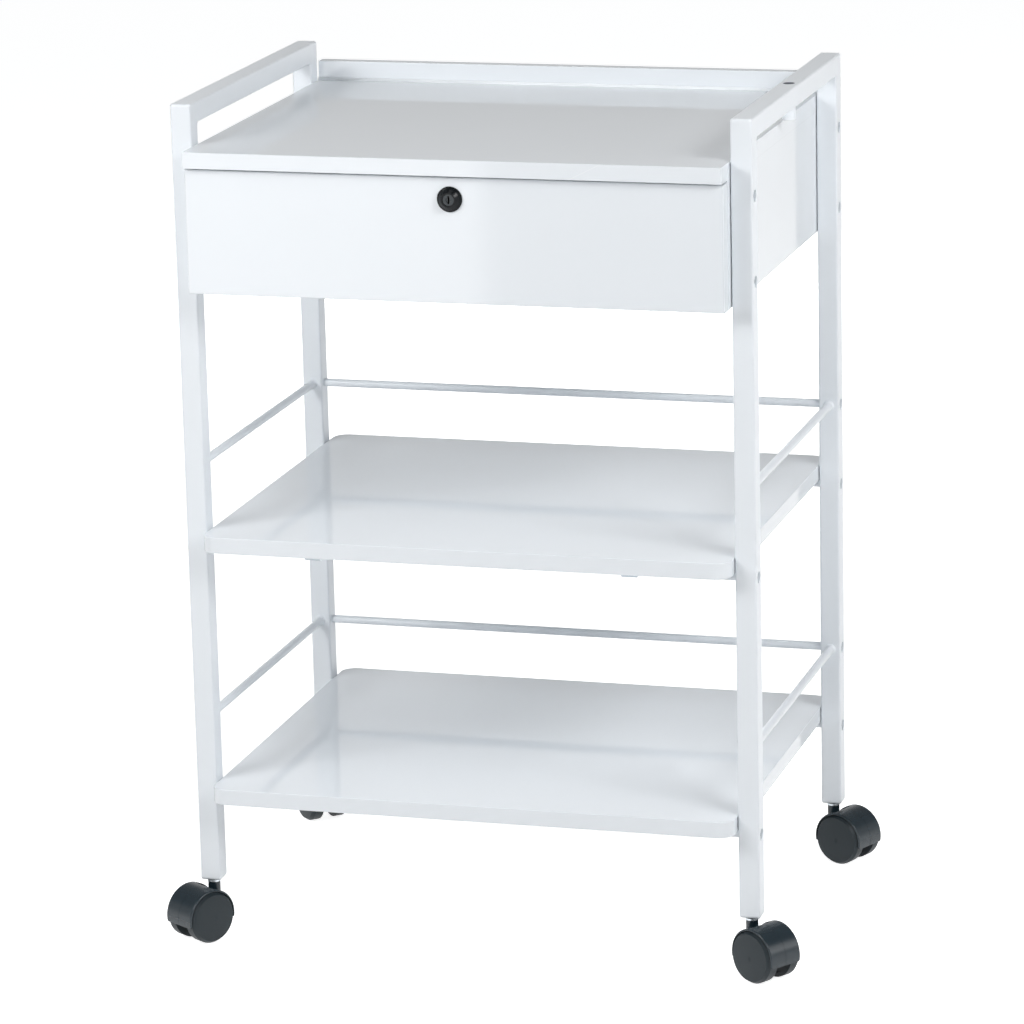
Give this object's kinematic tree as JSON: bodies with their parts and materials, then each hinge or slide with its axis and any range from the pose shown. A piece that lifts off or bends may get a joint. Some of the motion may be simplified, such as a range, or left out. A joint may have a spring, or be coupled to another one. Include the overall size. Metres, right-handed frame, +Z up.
{
  "type": "esthetician cart",
  "caption": "White esthetician trolley: square-tube side frames, a top tray over a locking drawer, open shelves with round bars, a lamp sleeve in one rail and black twin-wheel swivel casters.",
  "frame": {"origin": "on the floor, under the middle of the four posts", "axes": "+Z up, +X to the right as seen from the front, the drawer opens towards -Y"},
  "size_m": [0.6219, 0.4471, 0.8093],
  "materials": {
    "white_enamel": "smooth glossy white coating on steel",
    "white_board": "board with a smooth semi-gloss white face and edge band",
    "zinc_steel": "bright zinc on steel",
    "black_lock": "black coating, semi-gloss",
    "black_nylon": "black moulded nylon, satin"
  },
  "bodies": {
    "cart_frame": {"case_back": "white_board", "case_brackets": "zinc_steel", "case_floor": "white_board", "case_inserts": "zinc_steel", "case_screws": "zinc_steel", "case_side_left": "white_board", "case_side_right": "white_board", "caster_sockets": "black_nylon", "caster_stems": "zinc_steel", "frame_bolts": "zinc_steel", "frame_left": "white_enamel", "frame_right": "white_enamel", "lamp_sleeve": "white_enamel", "low_shelf": "white_board", "low_shelf_clips": "zinc_steel", "low_shelf_screws": "zinc_steel", "mid_shelf": "white_board", "mid_shelf_clips": "zinc_steel", "mid_shelf_screws": "zinc_steel", "rear_bars": "white_enamel", "runner_outer_left": "zinc_steel", "runner_outer_right": "zinc_steel", "shelf_rods": "white_enamel", "side_bars_left": "white_enamel", "side_bars_right": "white_enamel", "strike": "zinc_steel", "top_tray": "white_board", "tray_upstand": "white_board"},
    "drawer": {"drawer_back": "white_board", "drawer_blocks": "white_board", "drawer_floor": "white_board", "drawer_front": "white_board", "drawer_screws": "zinc_steel", "drawer_side_left": "white_board", "drawer_side_right": "white_board", "runner_inner_left": "zinc_steel", "runner_inner_right": "zinc_steel", "lock_housing": "black_lock", "lock_nut": "zinc_steel"},
    "runner_left": {"runner_middle_left": "zinc_steel"},
    "runner_right": {"runner_middle_right": "zinc_steel"},
    "lock": {"lock_core": "black_lock", "lock_cam": "zinc_steel", "lock_cam_screw": "zinc_steel"},
    "caster_fl": {"caster_hood_fl": "black_nylon", "caster_axle_fl": "zinc_steel"},
    "wheel_a_fl": {"caster_wheel_a_fl": "black_nylon"},
    "wheel_b_fl": {"caster_wheel_b_fl": "black_nylon"},
    "caster_fr": {"caster_hood_fr": "black_nylon", "caster_axle_fr": "zinc_steel"},
    "wheel_a_fr": {"caster_wheel_a_fr": "black_nylon"},
    "wheel_b_fr": {"caster_wheel_b_fr": "black_nylon"},
    "caster_rl": {"caster_hood_rl": "black_nylon", "caster_axle_rl": "zinc_steel"},
    "wheel_a_rl": {"caster_wheel_a_rl": "black_nylon"},
    "wheel_b_rl": {"caster_wheel_b_rl": "black_nylon"},
    "caster_rr": {"caster_hood_rr": "black_nylon", "caster_axle_rr": "zinc_steel"},
    "wheel_a_rr": {"caster_wheel_a_rr": "black_nylon"},
    "wheel_b_rr": {"caster_wheel_b_rr": "black_nylon"}
  },
  "joints": [
    {"name": "drawer_slide", "type": "slide", "parent": "cart_frame", "child": "drawer", "axis": [0, -1, 0], "range_m": [0, 0.3]},
    {"name": "runner_left_slide", "type": "slide", "parent": "cart_frame", "child": "runner_left", "axis": [0, -1, 0], "range_m": [0, 0.15]},
    {"name": "runner_right_slide", "type": "slide", "parent": "cart_frame", "child": "runner_right", "axis": [0, -1, 0], "range_m": [0, 0.15]},
    {"name": "lock_turn", "type": "hinge", "parent": "drawer", "child": "lock", "pos_m": [0, -0.212, 0.7334], "axis": [0, 1, 0], "range_deg": [0, 90]},
    {"name": "caster_swivel_fl", "type": "hinge", "parent": "cart_frame", "child": "caster_fl", "pos_m": [-0.265, -0.177, 0], "axis": [0, 0, 1], "continuous": true},
    {"name": "wheel_spin_a_fl", "type": "hinge", "parent": "caster_fl", "child": "wheel_a_fl", "pos_m": [-0.27454, -0.19226, 0.025], "axis": [-0.848, 0.5299, 0], "continuous": true},
    {"name": "wheel_spin_b_fl", "type": "hinge", "parent": "caster_fl", "child": "wheel_b_fl", "pos_m": [-0.27454, -0.19226, 0.025], "axis": [-0.848, 0.5299, 0], "continuous": true},
    {"name": "caster_swivel_fr", "type": "hinge", "parent": "cart_frame", "child": "caster_fr", "pos_m": [0.265, -0.177, 0], "axis": [0, 0, 1], "continuous": true},
    {"name": "wheel_spin_a_fr", "type": "hinge", "parent": "caster_fr", "child": "wheel_a_fr", "pos_m": [0.2801, -0.1868, 0.025], "axis": [-0.5446, -0.8387, 0], "continuous": true},
    {"name": "wheel_spin_b_fr", "type": "hinge", "parent": "caster_fr", "child": "wheel_b_fr", "pos_m": [0.2801, -0.1868, 0.025], "axis": [-0.5446, -0.8387, 0], "continuous": true},
    {"name": "caster_swivel_rl", "type": "hinge", "parent": "cart_frame", "child": "caster_rl", "pos_m": [-0.265, 0.177, 0], "axis": [0, 0, 1], "continuous": true},
    {"name": "wheel_spin_a_rl", "type": "hinge", "parent": "caster_rl", "child": "wheel_a_rl", "pos_m": [-0.27704, 0.19038, 0.025], "axis": [0.7431, 0.6691, 0], "continuous": true},
    {"name": "wheel_spin_b_rl", "type": "hinge", "parent": "caster_rl", "child": "wheel_b_rl", "pos_m": [-0.27704, 0.19038, 0.025], "axis": [0.7431, 0.6691, 0], "continuous": true},
    {"name": "caster_swivel_rr", "type": "hinge", "parent": "cart_frame", "child": "caster_rr", "pos_m": [0.265, 0.177, 0], "axis": [0, 0, 1], "continuous": true},
    {"name": "wheel_spin_a_rr", "type": "hinge", "parent": "caster_rr", "child": "wheel_a_rr", "pos_m": [0.28144, 0.16968, 0.025], "axis": [-0.4067, -0.9135, 0], "continuous": true},
    {"name": "wheel_spin_b_rr", "type": "hinge", "parent": "caster_rr", "child": "wheel_b_rr", "pos_m": [0.28144, 0.16968, 0.025], "axis": [-0.4067, -0.9135, 0], "continuous": true}
  ],
  "couplings": [
    {"joint": "runner_left_slide", "follows": "drawer_slide", "ratio": 0.5},
    {"joint": "runner_right_slide", "follows": "drawer_slide", "ratio": 0.5}
  ]
}
